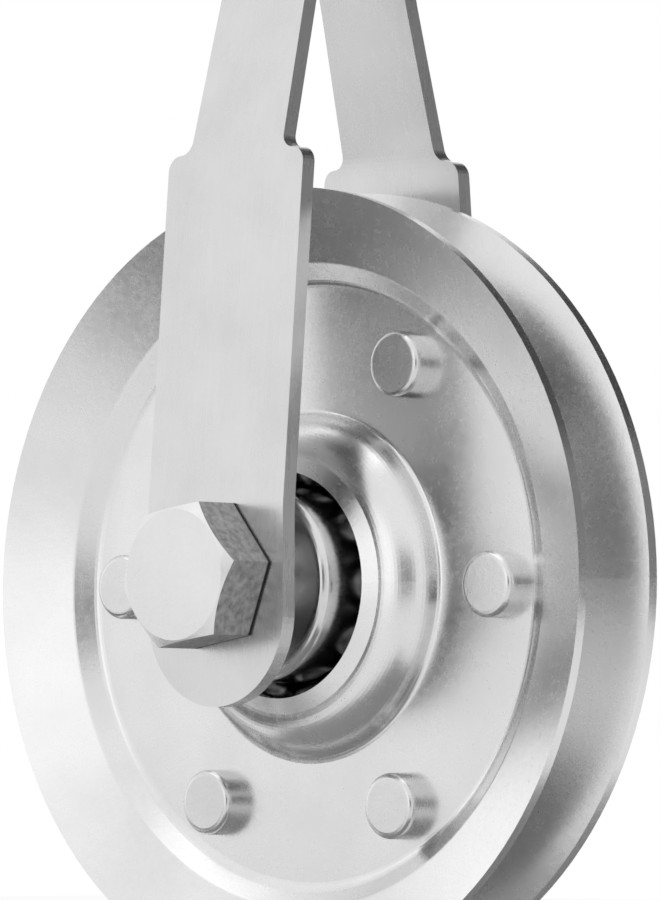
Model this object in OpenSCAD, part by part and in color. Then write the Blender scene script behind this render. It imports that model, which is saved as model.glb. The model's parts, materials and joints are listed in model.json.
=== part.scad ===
// Garage door cable pulley: a stamped steel sheave on balls in a forked strap.
// The sheave turns about the Y axis at the origin. The fork's eye is above it, along +Z.
// The bolt's head is on the -Y side. All sizes are in millimetres.

/* [Sheave] */
// Outside diameter of the sheave over its flanges
sheave_d = 76.2; // [72:0.1:84]
// Width of the sheave over its two rim edges
sheave_w = 11; // [10.5:0.1:13]
// Thickness of the sheet that the halves are stamped from
sheet_t = 1; // [0.8:0.05:1.2]
// Diameter where the flange cone starts
cone_d = 62.2; // [60:0.1:65]
// Depth of the step between the web and the flange cone
step_h = 1.6; // [1.2:0.05:2.2]
// Width of the step between the web and the flange cone, along the radius
step_w = 2.1; // [1.8:0.1:3.2]
// Outside radius of the bends at the step
bend_r = 1.6; // [1.3:0.05:2.4]

/* [Rivets] */
// Number of rivets that hold the halves together
rivet_n = 6; // [4:1:8]
// Share of the flat web's spare width that lies inside the rivet heads
rivet_share = 0.78; // [0.2:0.01:0.95]
// Diameter of a rivet head
rivet_head_d = 6.3; // [5:0.1:6.6]
// Height of a rivet head above the web
rivet_head_h = 2.1; // [1.2:0.1:2.3]
// Diameter of a rivet shank
rivet_d = 3.2; // [2.8:0.1:3.6]
// Edge round of a rivet head
rivet_round = 0.6; // [0.3:0.05:0.9]
// Gap between a rivet shank and its hole
rivet_gap = 0.02; // [0.01:0.01:0.05]
// Angle of the first rivet from the X axis
rivet_turn = -1; // [-30:1:30]

/* [Ball bearing] */
// Number of balls
ball_n = 9; // [7:1:9]
// Diameter of a ball
ball_d = 7.94; // [7.6:0.02:7.96]
// Gap between neighbouring balls
ball_side_gap = 0.06; // [0.04:0.01:0.3]
// Gap between a ball and each raceway
ball_play = 0.06; // [0.04:0.01:0.1]
// Depth of the groove that the balls run in, in the inner race
race_groove_h = 1.73; // [1.4:0.01:2]
// Diameter of the inner race's bore
race_bore_d = 9.6; // [9.3:0.05:10]
// Length of the inner race along the axle
race_l = 18.4; // [17.4:0.1:19.4]
// Radius that rounds the ends of the inner race
race_round = 1.1; // [0.6:0.1:1.6]
// Radius of the bend between the web and the dome
dome_bend_r = 0.6; // [0.4:0.05:1]
// Gap between the inner race and the hole in the dome of each sheave half
dome_gap = 1.5; // [1.2:0.05:1.8]
// Width of the lip round that hole
dome_lip_w = 1.5; // [0.8:0.05:1.8]
// Height of that lip above the dome
dome_lip_h = 0.7; // [0.3:0.05:0.9]

/* [Fork] */
// Thickness of the strip that the fork is bent from
strip_t = 1.6; // [1.4:0.05:2.2]
// Width of the strip along the legs
strip_w = 17.8; // [17:0.1:19]
// Clear gap between the legs at the axle
fork_gap = 25.6; // [24:0.1:28]
// Depth of the centre of the legs' round ends below the axle
end_drop = 2.9; // [1.5:0.1:4]
// Height above the axle where the legs start to lean in
lean_z = 7; // [6:0.5:14]
// Height of the shoulder, where the strip narrows, above the sheave's rim
shoulder_rise = 3.1; // [2.4:0.1:8]
// Clear gap between the legs at the shoulder
shoulder_gap = 19.9; // [18.4:0.1:21.4]
// Outside radius of the bends at the lean and at the shoulder
leg_bend_r = 12; // [6:0.5:20]
// Width of the shoulder on each side of the neck
shoulder_w = 2.9; // [2.4:0.1:3.6]
// Radius of the shoulder's convex corner. Its concave corner takes the rest of the width.
shoulder_r = 1.5; // [0.8:0.1:2]
// Height of the neck's taper above the shoulder
taper_h = 14.8; // [8:0.1:18]
// How much narrower the neck is above its taper
neck_taper = 0.8; // [0:0.1:2]
// Height of the centre of the eye above the shoulder
neck_h = 21.3; // [19:0.1:40]
// Inside radius of the eye
eye_r = 4.5; // [3.5:0.1:6]

/* [Axle bolt] */
// Diameter of the bolt
bolt_d = 7.94; // [7.8:0.02:8.1]
// Height of the bolt's axis above the sheave's, which hangs on it with play in the inner race
bolt_rise = 0.6; // [0:0.05:0.65]
// Length of the bolt that stands out of the nut
tip_proud = 2.55; // [1.5:0.05:10]
// Size of the bolt head and the nut across their flats
hex_af = 12.7; // [12:0.01:14]
// Width of the chamfer on a hexagon's face, at the middle of a flat
hex_rim = 0.15; // [0.1:0.05:0.6]
// Height of the chamfer on a hexagon's face, at a corner
hex_chamfer = 0.7; // [0.4:0.05:1.2]
// Height of the bolt head
head_h = 5.6; // [5:0.1:6.5]
// Height of the nut
nut_h = 6.75; // [6:0.01:7.5]
// Angle of the bolt head's first corner from the X axis
head_turn = 9; // [0:1:59]
// Angle of the nut's first corner from the X axis
nut_turn = 38; // [0:1:59]
// Chamfer of the bolt's tip
tip_chamfer = 0.9; // [0.5:0.1:1.4]
// Gap between the bolt and each hole in the strap and the spacers
bolt_gap = 0.15; // [0.1:0.01:0.3]
// Gap between the bolt and the nut's threads
thread_gap = 0.03; // [0.01:0.01:0.06]
// Wall of the spacers between the legs and the inner race
spacer_wall = 2.2; // [1.6:0.1:2.8]

/* [Hidden] */
BALLS = [for (i = [1 : ball_n]) str("ball_0", i)];
$fn = 96;

leg_y = fork_gap / 2;
leg_out = leg_y + strip_t;
end_r = strip_w / 2;
shoulder_z = sheave_d / 2 + shoulder_rise;
eye_z = shoulder_z + neck_h;
eye_out = eye_r + strip_t;
bore_r = bolt_d / 2 + bolt_gap;
ball_path_r = (ball_d + ball_side_gap) / 2 / sin(180 / ball_n);
raceway_r = ball_d / 2 + ball_play;
race_r = ball_path_r - raceway_r + race_groove_h;
dome_r = raceway_r + sheet_t;
dome_hole_r = race_r + dome_gap;
spill = 1;

// Unit vector along v
function unit(v) = v / norm(v);
// Vector v turned a quarter turn to the left
function left(v) = [-v[1], v[0]];
// Point beside the corner b of the path a, b, c, at distance t to its left
function mitre(a, b, c, t) =
    let (along = unit(c - b), middle = unit(left(unit(b - a)) + left(along)))
    b + middle * t / (middle * left(along));
// Path moved to its left by t
function beside(path, t) =
    let (last = len(path) - 1)
    concat(
        [path[0] + t * left(unit(path[1] - path[0]))],
        [for (i = [1 : last - 1]) mitre(path[i - 1], path[i], path[i + 1], t)],
        [path[last] + t * left(unit(path[last] - path[last - 1]))]
    );
// Points of an arc about c from angle a0 to angle a1
function arc(c, r, a0, a1, n) =
    [for (i = [0 : n]) c + r * [cos(a0 + (a1 - a0) * i / n), sin(a0 + (a1 - a0) * i / n)]];
// Arc of radius r in the corner b of the path a, b, c
function corner(a, b, c, r) =
    let (
        u = unit(a - b),
        v = unit(c - b),
        half = acos(u * v) / 2,
        centre = b + unit(u + v) * r / sin(half),
        p = b + u * r / tan(half) - centre,
        q = b + v * r / tan(half) - centre,
        start = atan2(p[1], p[0]),
        sweep = (atan2(q[1], q[0]) - start + 540) % 360 - 180
    )
    arc(centre, r, start, start + sweep, 4);
// Path with each inner corner rounded to radius r
function rounded(path, r) =
    let (last = len(path) - 1)
    concat(
        [path[0]],
        [for (i = [1 : last - 1]) each corner(path[i - 1], path[i], path[i + 1], r)],
        [path[last]]
    );
function reversed(list) = [for (i = [len(list) - 1 : -1 : 0]) list[i]];

// Stands a shape made about the Z axis on the Y axis, with its top towards -Y
module along_y() {
    rotate([90, 0, 0]) children();
}

// The same, with its top towards +Y
module along_y_back() {
    mirror([0, 1, 0]) along_y() children();
}

// Lifts a shape from the sheave's axis to the bolt's
module on_bolt() {
    translate([0, 0, bolt_rise]) children();
}

// Face of a sheave half in the plane of radius and height above the split.
// It runs from the rim to the hole in the dome, which is an arc about the ball's centre with a lip at the hole.
flange_a = atan2(sheave_w / 2 - sheet_t - step_h, (sheave_d - cone_d) / 2);
dome_base_a = asin((sheet_t + dome_bend_r) / (dome_r + dome_bend_r));
dome_base_r = ball_path_r + (dome_r + dome_bend_r) * cos(dome_base_a);
dome_top_a = acos((dome_hole_r + dome_lip_w - ball_path_r) / dome_r);
dome_top_h = dome_r * sin(dome_top_a);
step_foot_r = cone_d / 2 - step_w;
web_out_r = step_foot_r - bend_r * tan(atan2(step_h, step_w) / 2);
rivet_r = dome_base_r + rivet_share * (web_out_r - dome_base_r - rivet_head_d) + rivet_head_d / 2;
rim_side = rounded([
    [sheave_d / 2 + spill, sheave_w / 2 + spill * tan(flange_a)],
    [cone_d / 2, sheet_t + step_h],
    [step_foot_r, sheet_t],
    [rivet_r, sheet_t]
], bend_r);
dome_side = concat(
    arc([dome_base_r, sheet_t + dome_bend_r], dome_bend_r, 270, 180 + dome_base_a, 5),
    arc([ball_path_r, 0], dome_r, dome_base_a + 4, dome_top_a, 16),
    [[dome_hole_r - spill, dome_top_h + dome_lip_h * (1 + spill / dome_lip_w)]]
);
half_face = concat(rim_side, dome_side);

module half_profile() {
    intersection() {
        polygon(concat(half_face, reversed(beside(half_face, sheet_t))));
        translate([dome_hole_r, 0])
            square([sheave_d / 2 - dome_hole_r, sheave_w]);
    }
}

module sheave_half() {
    difference() {
        rotate_extrude() half_profile();
        at_rivets()
            translate([0, 0, -spill])
                cylinder(r = rivet_d / 2 + rivet_gap, h = sheet_t + 2 * spill);
    }
}

module at_rivets() {
    for (i = [0 : rivet_n - 1])
        rotate([0, 0, rivet_turn + i * 360 / rivet_n])
            translate([rivet_r, 0, 0])
                children();
}

module front_sheave_half() {
    color("silver") along_y() sheave_half();
}

module rear_sheave_half() {
    color("silver") along_y_back() sheave_half();
}

module rivet() {
    top = sheet_t + rivet_head_h;
    rim = rivet_head_d / 2;
    side = concat(
        [[0, 0], [rivet_d / 2, 0], [rivet_d / 2, sheet_t], [rim, sheet_t]],
        arc([rim - rivet_round, top - rivet_round], rivet_round, 0, 90, 6),
        [[0, top]]
    );
    rotate_extrude() polygon(side);
    mirror([0, 0, 1]) rotate_extrude() polygon(side);
}

module sheave_rivets() {
    color("gainsboro") along_y() at_rivets() rivet();
}

module inner_race() {
    half_l = race_l / 2;
    end = [race_r - race_round, half_l - race_round];
    side = concat(
        arc([end[0], -end[1]], race_round, -90, 0, 8),
        arc(end, race_round, 0, 90, 8),
        [[race_bore_d / 2, half_l], [race_bore_d / 2, -half_l]]
    );
    color("gray") along_y() rotate_extrude() difference() {
        polygon(side);
        translate([ball_path_r, 0]) circle(r = raceway_r);
    }
}

module ball(i) {
    color("lightgray") along_y()
        rotate([0, 0, i * 360 / ball_n])
            translate([ball_path_r, 0, 0])
                sphere(d = ball_d);
}

module spacer() {
    translate([0, 0, race_l / 2]) difference() {
        cylinder(r = bore_r + spacer_wall, h = leg_y - race_l / 2);
        translate([0, 0, -spill]) cylinder(r = bore_r, h = leg_y);
    }
}

module front_spacer() {
    color("dimgray") on_bolt() along_y() spacer();
}

module rear_spacer() {
    color("dimgray") on_bolt() along_y_back() spacer();
}

// Side of one leg's inner face in the Y-Z plane, from its end up to the eye
reach = norm([shoulder_gap / 2, eye_z - shoulder_z]);
neck_lean = atan2(shoulder_gap / 2, eye_z - shoulder_z) - asin(eye_r / reach);
leg_face = rounded([
    [leg_y, -end_drop - end_r],
    [leg_y, lean_z],
    [shoulder_gap / 2, shoulder_z],
    [eye_r * cos(neck_lean), eye_z + eye_r * sin(neck_lean)]
], leg_bend_r);

// Region between the two legs' faces that follow the path, closed at the top by a circle round the eye's centre
module between_legs(path, r) {
    polygon(concat(path, reversed([for (p = path) [-p[0], p[1]]])));
    translate([0, eye_z]) circle(r = r);
}

module bent_strip() {
    rotate([90, 0, 90])
        linear_extrude(strip_w + 2 * spill, center = true)
            difference() {
                between_legs(beside(leg_face, -strip_t), eye_out);
                between_legs(leg_face, eye_r);
            }
}

neck_base_w = strip_w - 2 * shoulder_w;
neck_w = neck_base_w - neck_taper;
crook_r = shoulder_w - shoulder_r;
// Outline of the strip as seen along the axle, its right side from the round end to the top of the eye
strip_side = concat(
    arc([0, -end_drop], end_r, -90, 0, 24),
    arc([end_r - shoulder_r, shoulder_z - shoulder_r], shoulder_r, 0, 90, 8),
    arc([end_r - shoulder_r, shoulder_z + crook_r], crook_r, 270, 180, 8),
    [[neck_w / 2, shoulder_z + taper_h], [neck_w / 2, eye_z + eye_out + spill]]
);

module strip_outline() {
    rotate([90, 0, 0])
        linear_extrude(2 * (leg_out + spill), center = true)
            polygon(concat(strip_side, reversed([for (p = strip_side) if (p[0] > 0.01) [-p[0], p[1]]])));
}

module fork_strap() {
    color("lightsteelblue") difference() {
        intersection() {
            bent_strip();
            strip_outline();
        }
        on_bolt() rotate([90, 0, 0])
            cylinder(r = bore_r, h = 2 * (leg_out + spill), center = true);
    }
}

// Hexagonal block with its foot at 0, chamfered on its top face, and on its foot if both is true
module hexagon(h, turn, both) {
    corner_r = hex_af / 2 / cos(30);
    wide_r = corner_r + spill;
    face_r = hex_af / 2 - hex_rim;
    fall = hex_chamfer / (corner_r - face_r) * (wide_r - face_r);
    foot = both ? [[0, 0], [face_r, 0], [wide_r, fall]] : [[0, -spill], [wide_r, -spill]];
    intersection() {
        rotate([0, 0, turn]) cylinder(r = corner_r, h = h, $fn = 6);
        rotate_extrude() polygon(concat(foot, [[wide_r, h - fall], [face_r, h], [0, h]]));
    }
}

module axle_bolt() {
    tip = -leg_out - nut_h - tip_proud;
    color("gainsboro") on_bolt() along_y() {
        translate([0, 0, leg_out]) hexagon(head_h, head_turn, false);
        rotate_extrude() polygon([
            [0, tip],
            [bolt_d / 2 - tip_chamfer, tip],
            [bolt_d / 2, tip + tip_chamfer],
            [bolt_d / 2, leg_out + head_h / 2],
            [0, leg_out + head_h / 2]
        ]);
    }
}

module axle_nut() {
    color("gainsboro") on_bolt() along_y_back()
        translate([0, 0, leg_out]) difference() {
            hexagon(nut_h, nut_turn, true);
            translate([0, 0, -spill])
                cylinder(r = bolt_d / 2 + thread_gap, h = nut_h + 2 * spill);
        }
}

fork_strap();
axle_bolt();
axle_nut();
front_spacer();
rear_spacer();
inner_race();
front_sheave_half();
rear_sheave_half();
sheave_rivets();
for (i = [1 : ball_n])
    ball(i);
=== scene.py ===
"""Garage door cable pulley: finishes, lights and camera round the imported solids."""

from __future__ import annotations

import json
import logging
import math
from dataclasses import dataclass
from enum import Enum
from typing import Any

import bpy
from mathutils import Matrix, Vector

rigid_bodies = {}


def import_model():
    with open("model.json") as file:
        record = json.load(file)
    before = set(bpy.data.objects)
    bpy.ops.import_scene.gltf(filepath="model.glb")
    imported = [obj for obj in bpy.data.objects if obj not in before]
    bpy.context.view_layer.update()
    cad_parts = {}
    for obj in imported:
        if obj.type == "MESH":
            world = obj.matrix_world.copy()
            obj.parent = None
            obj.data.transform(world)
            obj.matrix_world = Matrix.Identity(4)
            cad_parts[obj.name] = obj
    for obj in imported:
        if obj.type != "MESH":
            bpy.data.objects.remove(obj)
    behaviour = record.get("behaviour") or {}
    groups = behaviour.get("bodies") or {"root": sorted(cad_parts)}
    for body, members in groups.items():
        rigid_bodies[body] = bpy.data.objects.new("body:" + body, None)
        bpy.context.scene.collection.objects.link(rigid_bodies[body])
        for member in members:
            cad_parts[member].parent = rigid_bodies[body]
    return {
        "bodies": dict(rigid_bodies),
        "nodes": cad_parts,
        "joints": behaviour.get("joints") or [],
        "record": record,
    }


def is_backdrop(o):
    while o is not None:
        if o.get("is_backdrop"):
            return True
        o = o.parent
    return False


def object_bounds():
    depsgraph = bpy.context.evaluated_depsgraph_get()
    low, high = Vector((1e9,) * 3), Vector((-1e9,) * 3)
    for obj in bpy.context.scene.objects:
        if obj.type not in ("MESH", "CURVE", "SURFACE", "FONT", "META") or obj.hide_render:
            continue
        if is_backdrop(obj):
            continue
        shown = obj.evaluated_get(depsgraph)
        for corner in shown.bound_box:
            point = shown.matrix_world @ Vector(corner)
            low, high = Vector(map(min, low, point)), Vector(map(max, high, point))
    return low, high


log = logging.getLogger("pulley")

MM = 0.001
Colour = tuple[float, float, float]
Point = tuple[float, float, float]


def grey(level: float) -> Colour:
    """A colour without hue."""
    return (level, level, level)


WHITE = grey(1.0)


class Plating(Enum):
    """How a piece was plated after it was made."""

    STAMPED = "stamped sheet, barrel plated"
    STRIP = "rolled strip, plated after bending"
    FORGED = "cold headed and plated"
    TURNED = "turned and left plain"
    # The balls' dark colour is partly grease and partly painted shade of the gap round them.
    POLISHED = "ground and polished, dark with grease"


@dataclass(frozen=True)
class Unevenness:
    """One scale of a finish's unevenness: cells for each metre, octaves and strength of the finer ones."""

    cells: float
    octaves: float
    fineness: float


CLOUD = Unevenness(110.0, 4.0, 0.55)
FLECK = Unevenness(1500.0, 3.0, 0.6)
SPECK = Unevenness(5200.0, 2.0, 0.6)
NOISE_MIDDLE = 0.5


@dataclass
class Socket:
    """A node's output with the operators that the finishes use."""

    shop: NodeShop
    link: Any

    def _maths(self, operation: str, *values: Any) -> Socket:
        """The value of a new Math node that takes these sockets or numbers."""
        return self.shop.node("ShaderNodeMath", {"operation": operation}, dict(enumerate(values)))

    def __add__(self, other: Any) -> Socket:
        """Sum with another value."""
        return self._maths("ADD", self, other)

    __radd__ = __add__

    def __mul__(self, other: Any) -> Socket:
        """Product with another value."""
        return self._maths("MULTIPLY", self, other)

    __rmul__ = __mul__

    def __sub__(self, other: Any) -> Socket:
        """Difference from another value."""
        return self._maths("SUBTRACT", self, other)

    def __rsub__(self, other: Any) -> Socket:
        """Another value less this one."""
        return self._maths("SUBTRACT", other, self)

    def size(self) -> Socket:
        """This value without its sign."""
        return self._maths("ABSOLUTE", self)

    def clamped(self, low: float = 0.0, high: float = 1.0) -> Socket:
        """This value kept between two limits."""
        return self._maths("MINIMUM", self._maths("MAXIMUM", self, low), high)


class NodeShop:
    """Makes the nodes of one material or world."""

    def __init__(self, owner: Any) -> None:
        """Empties the owner's node tree.

        Args:
            owner: The material or world that the nodes belong to.
        """
        owner.use_nodes = True
        self.owner = owner
        self.tree = owner.node_tree
        self.tree.nodes.clear()

    def node(self, kind: str, settings: dict[str, Any], inputs: dict[Any, Any], output: Any = 0) -> Socket:
        """Makes one node, sets it up and fills its sockets.

        Args:
            kind: The node's type.
            settings: The node's own properties.
            inputs: Values or sockets by the input's name or number.
            output: The name or number of the output wanted.

        Returns:
            The chosen output.
        """
        made = self.tree.nodes.new(kind)
        for key, value in settings.items():
            setattr(made, key, value)
        for key, value in inputs.items():
            if isinstance(value, Socket):
                self.tree.links.new(value.link, made.inputs[key])
            else:
                made.inputs[key].default_value = value
        return Socket(self, made.outputs[output])

    def place(self) -> Socket:
        """The point on the piece, in the object's own coordinates."""
        return self.node("ShaderNodeTexCoord", {}, {}, "Object")

    def stretched(self, scale: Point) -> Socket:
        """The point on the piece with X, Y and Z scaled."""
        return self.node("ShaderNodeMapping", {}, {"Vector": self.place(), "Scale": scale}, "Vector")

    def flatness(self, axis: str) -> Socket:
        """How squarely the surface faces along the object's X, Y or Z, from 0 to 1."""
        normal = self.node("ShaderNodeTexCoord", {}, {}, "Normal")
        return self.node("ShaderNodeSeparateXYZ", {}, {"Vector": normal}, axis).size()

    def length(self, scale: Point) -> Socket:
        """Distance from the origin in millimetres, with X, Y and Z scaled. An axis with 0 doesn't count."""
        values = {0: self.stretched(scale)}
        return self.node("ShaderNodeVectorMath", {"operation": "LENGTH"}, values, "Value") * (1.0 / MM)

    def noise(self, point: Socket, kind: Unevenness) -> Socket:
        """Noise of one scale at a point, from 0 to 1."""
        values = {"Vector": point, "Scale": kind.cells, "Detail": kind.octaves, "Roughness": kind.fineness}
        return self.node("ShaderNodeTexNoise", {}, values, "Fac")

    def blend(self, amount: Any, first: Any, second: Any) -> Socket:
        """Colour between two colours.

        Args:
            amount: 0 for the first and 1 for the second.
            first: A colour or its socket.
            second: A colour or its socket.

        Returns:
            The mixed colour.
        """
        colours = [c if isinstance(c, Socket) else (*c, 1.0) for c in (first, second)]
        values = {0: amount, 6: colours[0], 7: colours[1]}
        return self.node("ShaderNodeMix", {"data_type": "RGBA"}, values, 2)

    def bump(self, height: Socket, strength: float, distance: float, under: Socket | None = None) -> Socket:
        """Normal that a height gives.

        Args:
            height: The height, about 0 to 1.
            strength: Share of the bump that shows.
            distance: Depth in metres for a height of 1.
            under: A normal to lay it on.

        Returns:
            The bumped normal.
        """
        values: dict[Any, Any] = {"Height": height, "Strength": strength, "Distance": distance}
        if under is not None:
            values["Normal"] = under
        return self.node("ShaderNodeBump", {}, values, "Normal")

    def background_ray(self) -> Socket:
        """1 for a ray from the camera, from gloss or through glass, and 0 for any other.

        Returns:
            The value.
        """
        kinds = ("Camera", "Glossy", "Transmission")
        rays = [self.node("ShaderNodeLightPath", {}, {}, f"Is {kind} Ray") for kind in kinds]
        return (rays[0] + rays[1] + rays[2]).clamped()

    def paint(self, level: float) -> Socket:
        """Matt grey paint."""
        return self.node("ShaderNodeBsdfDiffuse", {}, {"Color": (*grey(level), 1.0)}, "BSDF")

    def sky(self, strength: float) -> Socket:
        """White light from all round."""
        values = {"Color": (*WHITE, 1.0), "Strength": strength}
        return self.node("ShaderNodeBackground", {}, values, "Background")

    def mix(self, amount: Socket, first: Socket, second: Socket) -> Socket:
        """Shader between two shaders, the first where the amount is 0."""
        return self.node("ShaderNodeMixShader", {}, {0: amount, 1: first, 2: second})

    def close(self, kind: str, shader: Socket) -> None:
        """Joins a shader to a new output node of the given type."""
        out = self.tree.nodes.new(kind)
        self.tree.links.new(shader.link, out.inputs["Surface"])

    def surface(self, settings: dict[str, Any]) -> bpy.types.Material:
        """The material, closed with a Principled shader of these values or sockets."""
        self.close("ShaderNodeOutputMaterial", self.node("ShaderNodeBsdfPrincipled", {}, settings, "BSDF"))
        return self.owner


@dataclass(frozen=True)
class Metal:
    """A plated or plain steel finish.

    Its grain scales the flecks along X, Y and Z. A stain is a cloud with some fleck in it: it starts at
    one level of that noise and deepens with a gain. Bump depths are in millimetres.
    """

    name: str
    plating: Plating
    colour: Colour
    shade: Colour
    roughness: float
    grain: Point = (1.0, 1.0, 1.0)
    grain_depth: float = 0.16
    metallic: float = 1.0
    cloud_share: float = 0.75
    stain_start: float = 0.36
    stain_gain: float = 3.2
    fleck_gloss: float = 0.14
    cloud_gloss: float = 0.10
    least_rough: float = 0.05
    speck_show: float = 0.20
    speck_h: float = 0.02
    fleck_h: float = 0.04
    # Grey of the hexagon's sides, partly forged skin and partly painted shade.
    flank_grey: Colour = grey(0.26)
    flank_share: float = 0.72
    flank_mottle: float = 1.1
    flank_rough: float = 0.22
    # Colour of the painted contact shadow.
    contact_shadow_grey: Colour = grey(0.03)

    def contact_shadow(self, shop: NodeShop) -> Socket | None:
        """Share of painted contact shadow from 0 to 1, or None where it has none."""
        return None

    def flank(self, shop: NodeShop) -> Socket | None:
        """Share of a rough skin that is also darkened as painted shade, from 0 to 1, or None where it has
        none.
        """
        return None

    def material(self) -> bpy.types.Material:
        """Builds the finish.

        Returns:
            The material.
        """
        shop = NodeShop(bpy.data.materials.new(self.name))
        place = shop.place()
        cloud = shop.noise(place, CLOUD)
        fleck = shop.noise(shop.stretched(self.grain), FLECK)
        speck = shop.noise(place, SPECK)
        spread = cloud * self.cloud_share + fleck * (1.0 - self.cloud_share)
        stain = (spread - self.stain_start) * self.stain_gain
        tone = shop.blend(stain.clamped(), self.shade, self.colour)
        gloss = (fleck - NOISE_MIDDLE) * self.fleck_gloss + (cloud - NOISE_MIDDLE) * self.cloud_gloss
        rough = (self.roughness + gloss).clamped(self.least_rough)
        flank = self.flank(shop)
        if flank is not None:
            # The sides go darker by which way they face: partly rough forged skin, partly painted shade.
            mottle = (fleck - NOISE_MIDDLE) * self.flank_mottle
            tone = shop.blend(flank * (self.flank_share + mottle), tone, self.flank_grey)
            rough = (rough + flank * self.flank_rough).clamped(self.least_rough)
        contact_shadow = self.contact_shadow(shop)
        # Painted contact shadow: the tone goes nearly black where the head or nut meets the strap.
        if contact_shadow is not None:
            tone = shop.blend(contact_shadow, tone, self.contact_shadow_grey)
        normal = shop.bump(speck, self.speck_show, self.speck_h * MM)
        normal = shop.bump(fleck, self.grain_depth, self.fleck_h * MM, normal)
        return shop.surface({
            "Base Color": tone,
            "Metallic": self.metallic,
            "Roughness": rough,
            "Normal": normal,
        })


@dataclass(frozen=True)
class SeatedMetal(Metal):
    """A fastener's finish, with a painted contact shadow where its head or nut meets the strap, sized in
    millimetres.
    """

    seat_y: float = 14.4
    dark_h: float = 0.34
    dark_fade: float = 6.0
    face_cut: float = 1.8

    def flank(self, shop: NodeShop) -> Socket:
        """The hexagon's sides: the rough skin of the forging, darkened further as painted shade on the
        sides.
        """
        return (1.0 - shop.flatness("Y") * self.face_cut).clamped()

    def contact_shadow(self, shop: NodeShop) -> Socket:
        """Painted contact shadow in the corner between the hexagon and the strap."""
        height = shop.length((0.0, 1.0, 0.0)) - self.seat_y
        return ((self.dark_h - height) * self.dark_fade).clamped()


SHEAVE_ZINC = Metal("sheave_zinc", Plating.STAMPED, grey(0.81), grey(0.73), 0.26)
STRAP_ZINC = Metal("strap_zinc", Plating.STRIP, grey(0.72), grey(0.65), 0.28, grain=(1.0, 1.0, 0.08))
BOLT_ZINC = SeatedMetal("bolt_zinc", Plating.FORGED, grey(0.82), grey(0.74), 0.30, grain_depth=0.45)
RIVET_ZINC = Metal("rivet_zinc", Plating.FORGED, grey(0.76), grey(0.66), 0.26, grain_depth=0.40)
RACE_STEEL = Metal("race_steel", Plating.TURNED, grey(0.74), grey(0.62), 0.19)
DARK_STEEL = Metal("dark_steel", Plating.TURNED, grey(0.46), grey(0.32), 0.32)
# Dark ball colours: partly grease, partly painted shade of the narrow gap that the balls sit in.
BALL_STEEL = Metal("ball_steel", Plating.POLISHED, grey(0.22), grey(0.08), 0.20)


@dataclass
class SubAssembly:
    """Pieces of the frame that are built and dressed together."""

    frame: dict[str, Any]
    edge_round: float = 0.12 * MM
    edge_steps: int = 2
    smooth_angle: float = math.radians(32.0)

    def finishes(self) -> dict[str, Metal]:
        """The finish of each piece, by its node's name."""
        raise NotImplementedError

    def build(self) -> None:
        """Rounds the edges of each piece."""
        for name in self.finishes():
            self.soften(self.frame["nodes"][name])

    def dress(self) -> None:
        """Gives each piece its finish. Pieces of one finish share its material."""
        made: dict[Metal, bpy.types.Material] = {}
        for name, metal in self.finishes().items():
            if metal not in made:
                made[metal] = metal.material()
            piece = self.frame["nodes"][name]
            piece.data.materials.clear()
            piece.data.materials.append(made[metal])
            log.info("%s: %s", name, metal.plating.value)

    def soften(self, piece: bpy.types.Object) -> None:
        """Rounds the sharp edges of a piece.

        Args:
            piece: The piece's object.
        """
        edges = piece.modifiers.new("edge_round", "BEVEL")
        edges.width = self.edge_round
        edges.segments = self.edge_steps
        edges.limit_method = "ANGLE"
        edges.angle_limit = self.smooth_angle
        edges.use_clamp_overlap = True
        edges.harden_normals = False
        shade = piece.modifiers.new("even_normals", "WEIGHTED_NORMAL")
        shade.keep_sharp = False


@dataclass
class Fork(SubAssembly):
    """The strap, the bolt that it holds, the nut and the spacers."""

    edge_round: float = 0.30 * MM
    edge_steps: int = 3

    def finishes(self) -> dict[str, Metal]:
        """The finish of each piece, by its node's name."""
        return {
            "fork_strap": STRAP_ZINC,
            "axle_bolt": BOLT_ZINC,
            "axle_nut": BOLT_ZINC,
            "front_spacer": DARK_STEEL,
            "rear_spacer": DARK_STEEL,
        }


@dataclass
class Sheave(SubAssembly):
    """The two stamped halves and their rivets."""

    edge_round: float = 0.18 * MM

    def finishes(self) -> dict[str, Metal]:
        """The finish of each piece, by its node's name."""
        return {
            "front_sheave_half": SHEAVE_ZINC,
            "rear_sheave_half": SHEAVE_ZINC,
            "sheave_rivets": RIVET_ZINC,
        }


@dataclass
class BallBearing(SubAssembly):
    """The inner race and the balls that run on it."""

    edge_round: float = 0.10 * MM

    def finishes(self) -> dict[str, Metal]:
        """The finish of each piece, by its node's name."""
        balls = {name: BALL_STEEL for name in self.frame["nodes"] if name.startswith("ball_")}
        return {"inner_race": RACE_STEEL, **balls}


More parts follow.
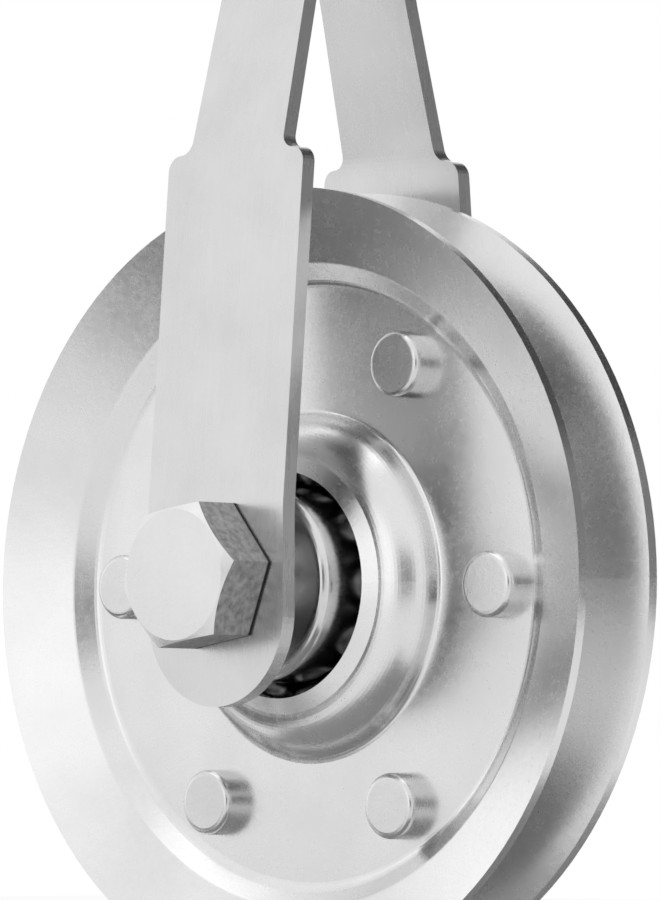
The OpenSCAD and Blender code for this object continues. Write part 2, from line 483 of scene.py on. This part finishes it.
@dataclass
class Camera:
    """The camera of the photograph, in millimetres and pixels of a 660 by 900 frame."""

    azimuth: float = math.radians(43.38)
    elevation: float = math.radians(-2.98)
    distance: float = 700.0
    pixels_per_mm: float = 10.396
    sheave_u: float = 319.5
    sheave_v: float = 586.1
    frame_w: float = 660.0
    frame_h: float = 900.0
    film: float = 36.0
    near: float = 10.0
    far: float = 50000.0

    def build(self) -> None:
        """Makes the camera and gives it to the scene."""
        turn, tilt = self.azimuth, self.elevation
        back = Vector((math.sin(turn) * math.cos(tilt), -math.cos(turn) * math.cos(tilt), math.sin(tilt)))
        right = Vector((math.cos(turn), math.sin(turn), 0.0))
        up = back.cross(right)
        beside = (self.sheave_u - self.frame_w / 2) / self.pixels_per_mm
        above = (self.frame_h / 2 - self.sheave_v) / self.pixels_per_mm
        place = (back * self.distance - right * beside - up * above) * MM
        data = bpy.data.cameras.new("photo_camera")
        data.sensor_width = self.film
        data.lens = self.film * self.pixels_per_mm * self.distance / self.frame_h
        data.clip_start = self.near * MM
        data.clip_end = self.far * MM
        camera = bpy.data.objects.new("photo_camera", data)
        bpy.context.scene.collection.objects.link(camera)
        camera.matrix_world = Matrix.Translation(place) @ Matrix((right, up, back)).transposed().to_4x4()
        bpy.context.scene.camera = camera


def stage_plate(name: str, side: float) -> bpy.types.Object:
    """Makes a square plate that isn't part of the object.

    Args:
        name: The plate's name.
        side: Its side in metres.

    Returns:
        The plate.
    """
    half = side / 2
    mesh = bpy.data.meshes.new(name)
    corners = [(-half, -half, 0.0), (half, -half, 0.0), (half, half, 0.0), (-half, half, 0.0)]
    mesh.from_pydata(corners, [], [(0, 1, 2, 3)])
    plate = bpy.data.objects.new(name, mesh)
    bpy.context.scene.collection.objects.link(plate)
    plate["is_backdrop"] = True
    return plate


@dataclass(frozen=True)
class Lamp:
    """A square soft lamp that points at the object, in metres and watts."""

    name: str
    place: Point
    side: float
    power: float

    def build(self) -> None:
        """Makes the lamp."""
        data = bpy.data.lights.new(self.name, "AREA")
        data.energy = self.power
        data.size = self.side
        lamp = bpy.data.objects.new(self.name, data)
        bpy.context.scene.collection.objects.link(lamp)
        lamp.location = self.place
        lamp.rotation_euler = Vector(self.place).to_track_quat("Z", "Y").to_euler()


@dataclass(frozen=True)
class Card:
    """A grey card that the metal reflects and the camera doesn't see, in metres."""

    name: str
    place: Point
    facing: Point
    side: float
    level: float

    def build(self) -> None:
        """Makes the card and paints it."""
        card = stage_plate(self.name, self.side)
        card.location = self.place
        card.rotation_euler = Vector(self.facing).to_track_quat("Z", "Y").to_euler()
        shop = NodeShop(bpy.data.materials.new(self.name))
        shop.close("ShaderNodeOutputMaterial", shop.paint(self.level))
        card.data.materials.append(shop.owner)
        card.visible_camera = False
        card.visible_shadow = False


LAMPS = (
    Lamp("key_lamp", (-1.15, -0.40, 0.05), side=0.7, power=0.45),
    Lamp("fill_lamp", (-0.05, -1.15, 0.15), side=0.6, power=0.34),
    Lamp("top_lamp", (-0.2, -0.3, 1.1), side=0.8, power=1.2),
)
CARDS = (
    Card("under_card", (0.0, 0.0, -0.060), (0.0, 0.0, 1.0), side=0.12, level=0.42),
    Card("low_card", (-0.155, -0.125, -0.060), (0.0, 0.0, 1.0), side=0.17, level=0.20),
    Card("side_card", (0.62, 0.52, 0.02), (-0.76, -0.64, 0.0), side=1.0, level=0.39),
    Card("front_card", (0.58, -0.72, -0.02), (-0.63, 0.78, 0.0), side=0.55, level=0.37),
    Card("rear_card", (0.16, 0.58, 0.62), (-0.18, -0.66, -0.72), side=0.9, level=0.10),
)


@dataclass
class Studio:
    """Floor, lamps, cards and world round the object, in metres."""

    floor_gap: float = 0.03
    floor_side: float = 6.0
    floor_level: float = 0.82
    floor_glow: float = 0.9
    ambient: float = 0.75

    def build(self, low: Vector) -> None:
        """Makes the studio.

        Args:
            low: The lowest corner of the object's box.
        """
        self.world()
        self.floor(low.z - self.floor_gap)
        for thing in (*LAMPS, *CARDS):
            thing.build()

    def world(self) -> None:
        """Makes a world that is white to the camera and in reflections."""
        world = bpy.data.worlds.new("studio_world")
        bpy.context.scene.world = world
        shop = NodeShop(world)
        light = shop.sky(self.ambient)
        white = shop.sky(1.0)
        shop.close("ShaderNodeOutputWorld", shop.mix(shop.background_ray(), light, white))

    def floor(self, height: float) -> None:
        """Lays a floor that is nearly white to the camera and in reflections.

        Args:
            height: Where it lies.
        """
        floor = stage_plate("studio_floor", self.floor_side)
        floor.location.z = height
        shop = NodeShop(bpy.data.materials.new("studio_floor"))
        glow = shop.node("ShaderNodeEmission", {}, {"Color": (*WHITE, 1.0)}, "Emission")
        share = shop.background_ray() * self.floor_glow
        shop.close("ShaderNodeOutputMaterial", shop.mix(share, shop.paint(self.floor_level), glow))
        floor.data.materials.append(shop.owner)


def main() -> None:
    """Dresses the pulley, lights it and places the camera."""
    logging.basicConfig(level=logging.INFO, format="%(name)s: %(message)s")
    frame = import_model()
    cad_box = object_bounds()
    Camera().build()
    Studio().build(cad_box[0])
    for group in (Fork(frame), Sheave(frame), BallBearing(frame)):
        group.build()
        group.dress()
    bpy.context.scene.view_settings.view_transform = "Standard"


if __name__ == "__main__":
    main()
